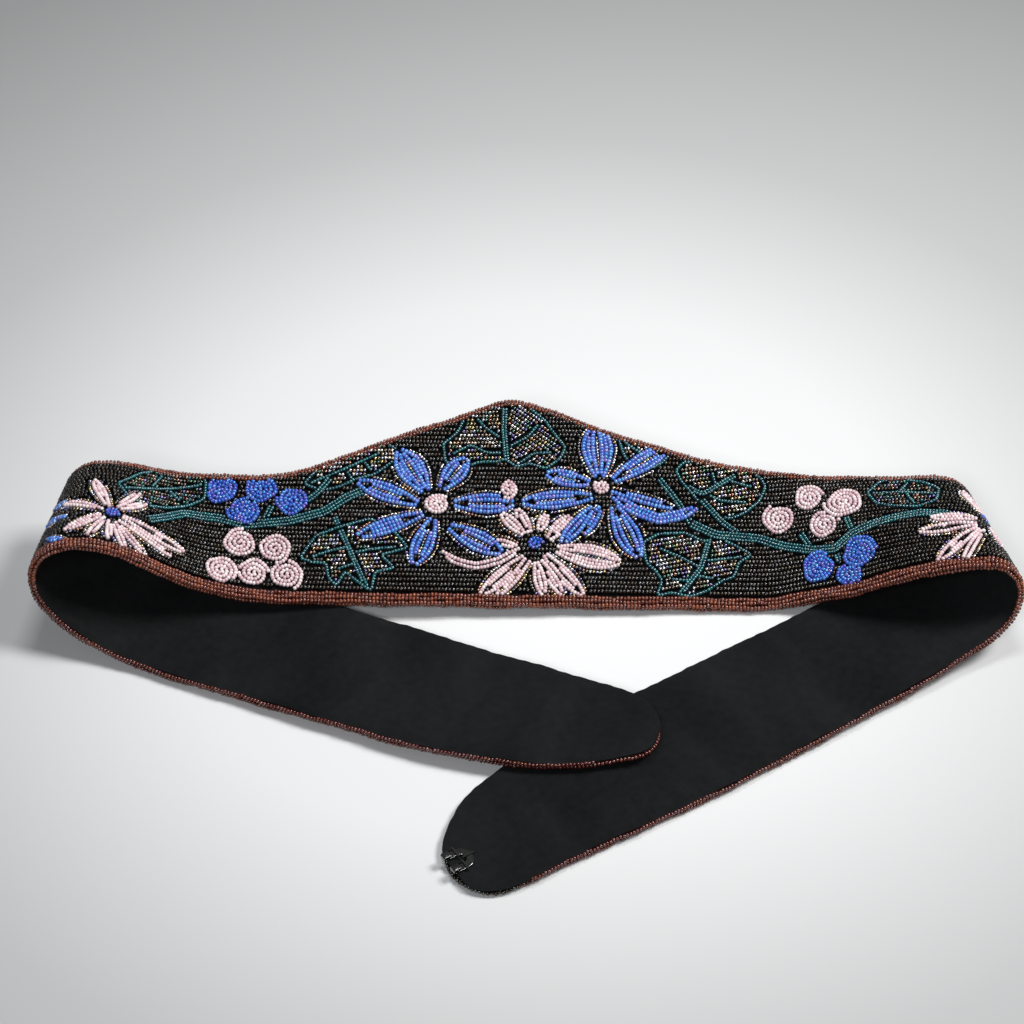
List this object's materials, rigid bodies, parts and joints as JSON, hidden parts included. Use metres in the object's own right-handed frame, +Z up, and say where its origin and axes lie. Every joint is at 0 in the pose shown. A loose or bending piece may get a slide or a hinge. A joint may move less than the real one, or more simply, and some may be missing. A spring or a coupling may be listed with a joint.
{
  "type": "beaded headband",
  "caption": "Bead-embroidered headband with a low front peak, floral motifs, beaded edging, cloth lining and a hook-and-eye closure, laid out with both ends rolled under.",
  "frame": {"origin": "under the middle of the part's box, on the surface it lies on", "axes": "+X along the front from its left end to its right end, +Y across the band from the lower edge of the front to its peak, +Z up"},
  "size_m": [0.2532, 0.1542, 0.0312],
  "materials": {
    "black_beads": "gloss",
    "brown_beads": "gloss",
    "blue_beads": "gloss",
    "pink_beads": "gloss",
    "teal_beads": "gloss",
    "iris_beads": "gloss",
    "black_lining": "matte",
    "interlining": "matte",
    "nickel": "satin",
    "thread": "matte"
  },
  "bodies": {
    "band": {"blue_berries_left": "blue_beads", "blue_berries_right": "blue_beads", "blue_flower_left": "blue_beads", "blue_flower_left_centre": "pink_beads", "blue_flower_right": "blue_beads", "blue_flower_right_centre": "pink_beads", "front_beadwork": "black_beads", "front_edging_high": "brown_beads", "front_edging_low": "brown_beads", "front_lining": "black_lining", "front_stiffener": "interlining", "leaf_curl_right": "iris_beads", "leaf_far_left": "iris_beads", "leaf_far_right": "iris_beads", "leaf_flank_left": "iris_beads", "leaf_low_left": "iris_beads", "leaf_low_right": "iris_beads", "leaf_peak": "iris_beads", "leaf_up_right": "iris_beads", "left_turn_beadwork_flank": "black_beads", "left_turn_beadwork_roll_lower": "black_beads", "left_turn_beadwork_roll_outer": "black_beads", "left_turn_beadwork_roll_upper": "black_beads", "left_turn_beadwork_run": "black_beads", "left_turn_edging_high": "brown_beads", "left_turn_edging_low": "brown_beads", "left_turn_lining": "black_lining", "left_turn_stiffener": "interlining", "pink_berries_left": "pink_beads", "pink_berries_right": "pink_beads", "pink_bud": "pink_beads", "pink_flower": "pink_beads", "pink_flower_heart": "blue_beads", "right_tail_beadwork": "black_beads", "right_tail_edging_high": "brown_beads", "right_tail_edging_low": "brown_beads", "right_tail_lining": "black_lining", "right_tail_stiffener": "interlining", "right_turn_beadwork_flank": "black_beads", "right_turn_beadwork_roll_lower": "black_beads", "right_turn_beadwork_roll_outer": "black_beads", "right_turn_beadwork_roll_upper": "black_beads", "right_turn_beadwork_run": "black_beads", "right_turn_edging_high": "brown_beads", "right_turn_edging_low": "brown_beads", "right_turn_lining": "black_lining", "right_turn_stiffener": "interlining", "stem_left": "teal_beads", "stem_right": "teal_beads", "turn_flower_left": "pink_beads", "turn_flower_left_heart": "blue_beads", "turn_flower_right": "pink_beads", "turn_flower_right_heart": "blue_beads"},
    "left_tail": {"left_tail_beadwork": "black_beads", "left_tail_edging": "brown_beads", "left_tail_lining": "black_lining", "left_tail_stiffener": "interlining", "closure_eye_bar": "nickel", "eye_stitches": "thread"},
    "hook_end": {"hook_end_beadwork": "black_beads", "hook_end_edging": "brown_beads", "hook_end_lining": "black_lining", "hook_end_stiffener": "interlining", "closure_hook": "nickel", "hook_stitches": "thread"}
  },
  "joints": [
    {"name": "left_tail_lift", "type": "hinge", "parent": "band", "child": "left_tail", "pos_m": [-0.03533, -0.01003, 0.00399], "axis": [-0.3764, -0.9265, 0], "range_deg": [0, 38]},
    {"name": "hook_end_lift", "type": "hinge", "parent": "band", "child": "hook_end", "pos_m": [-0.00127, -0.05538, 0.00242], "axis": [-0.537, 0.8436, 0], "range_deg": [0, 50]}
  ]
}
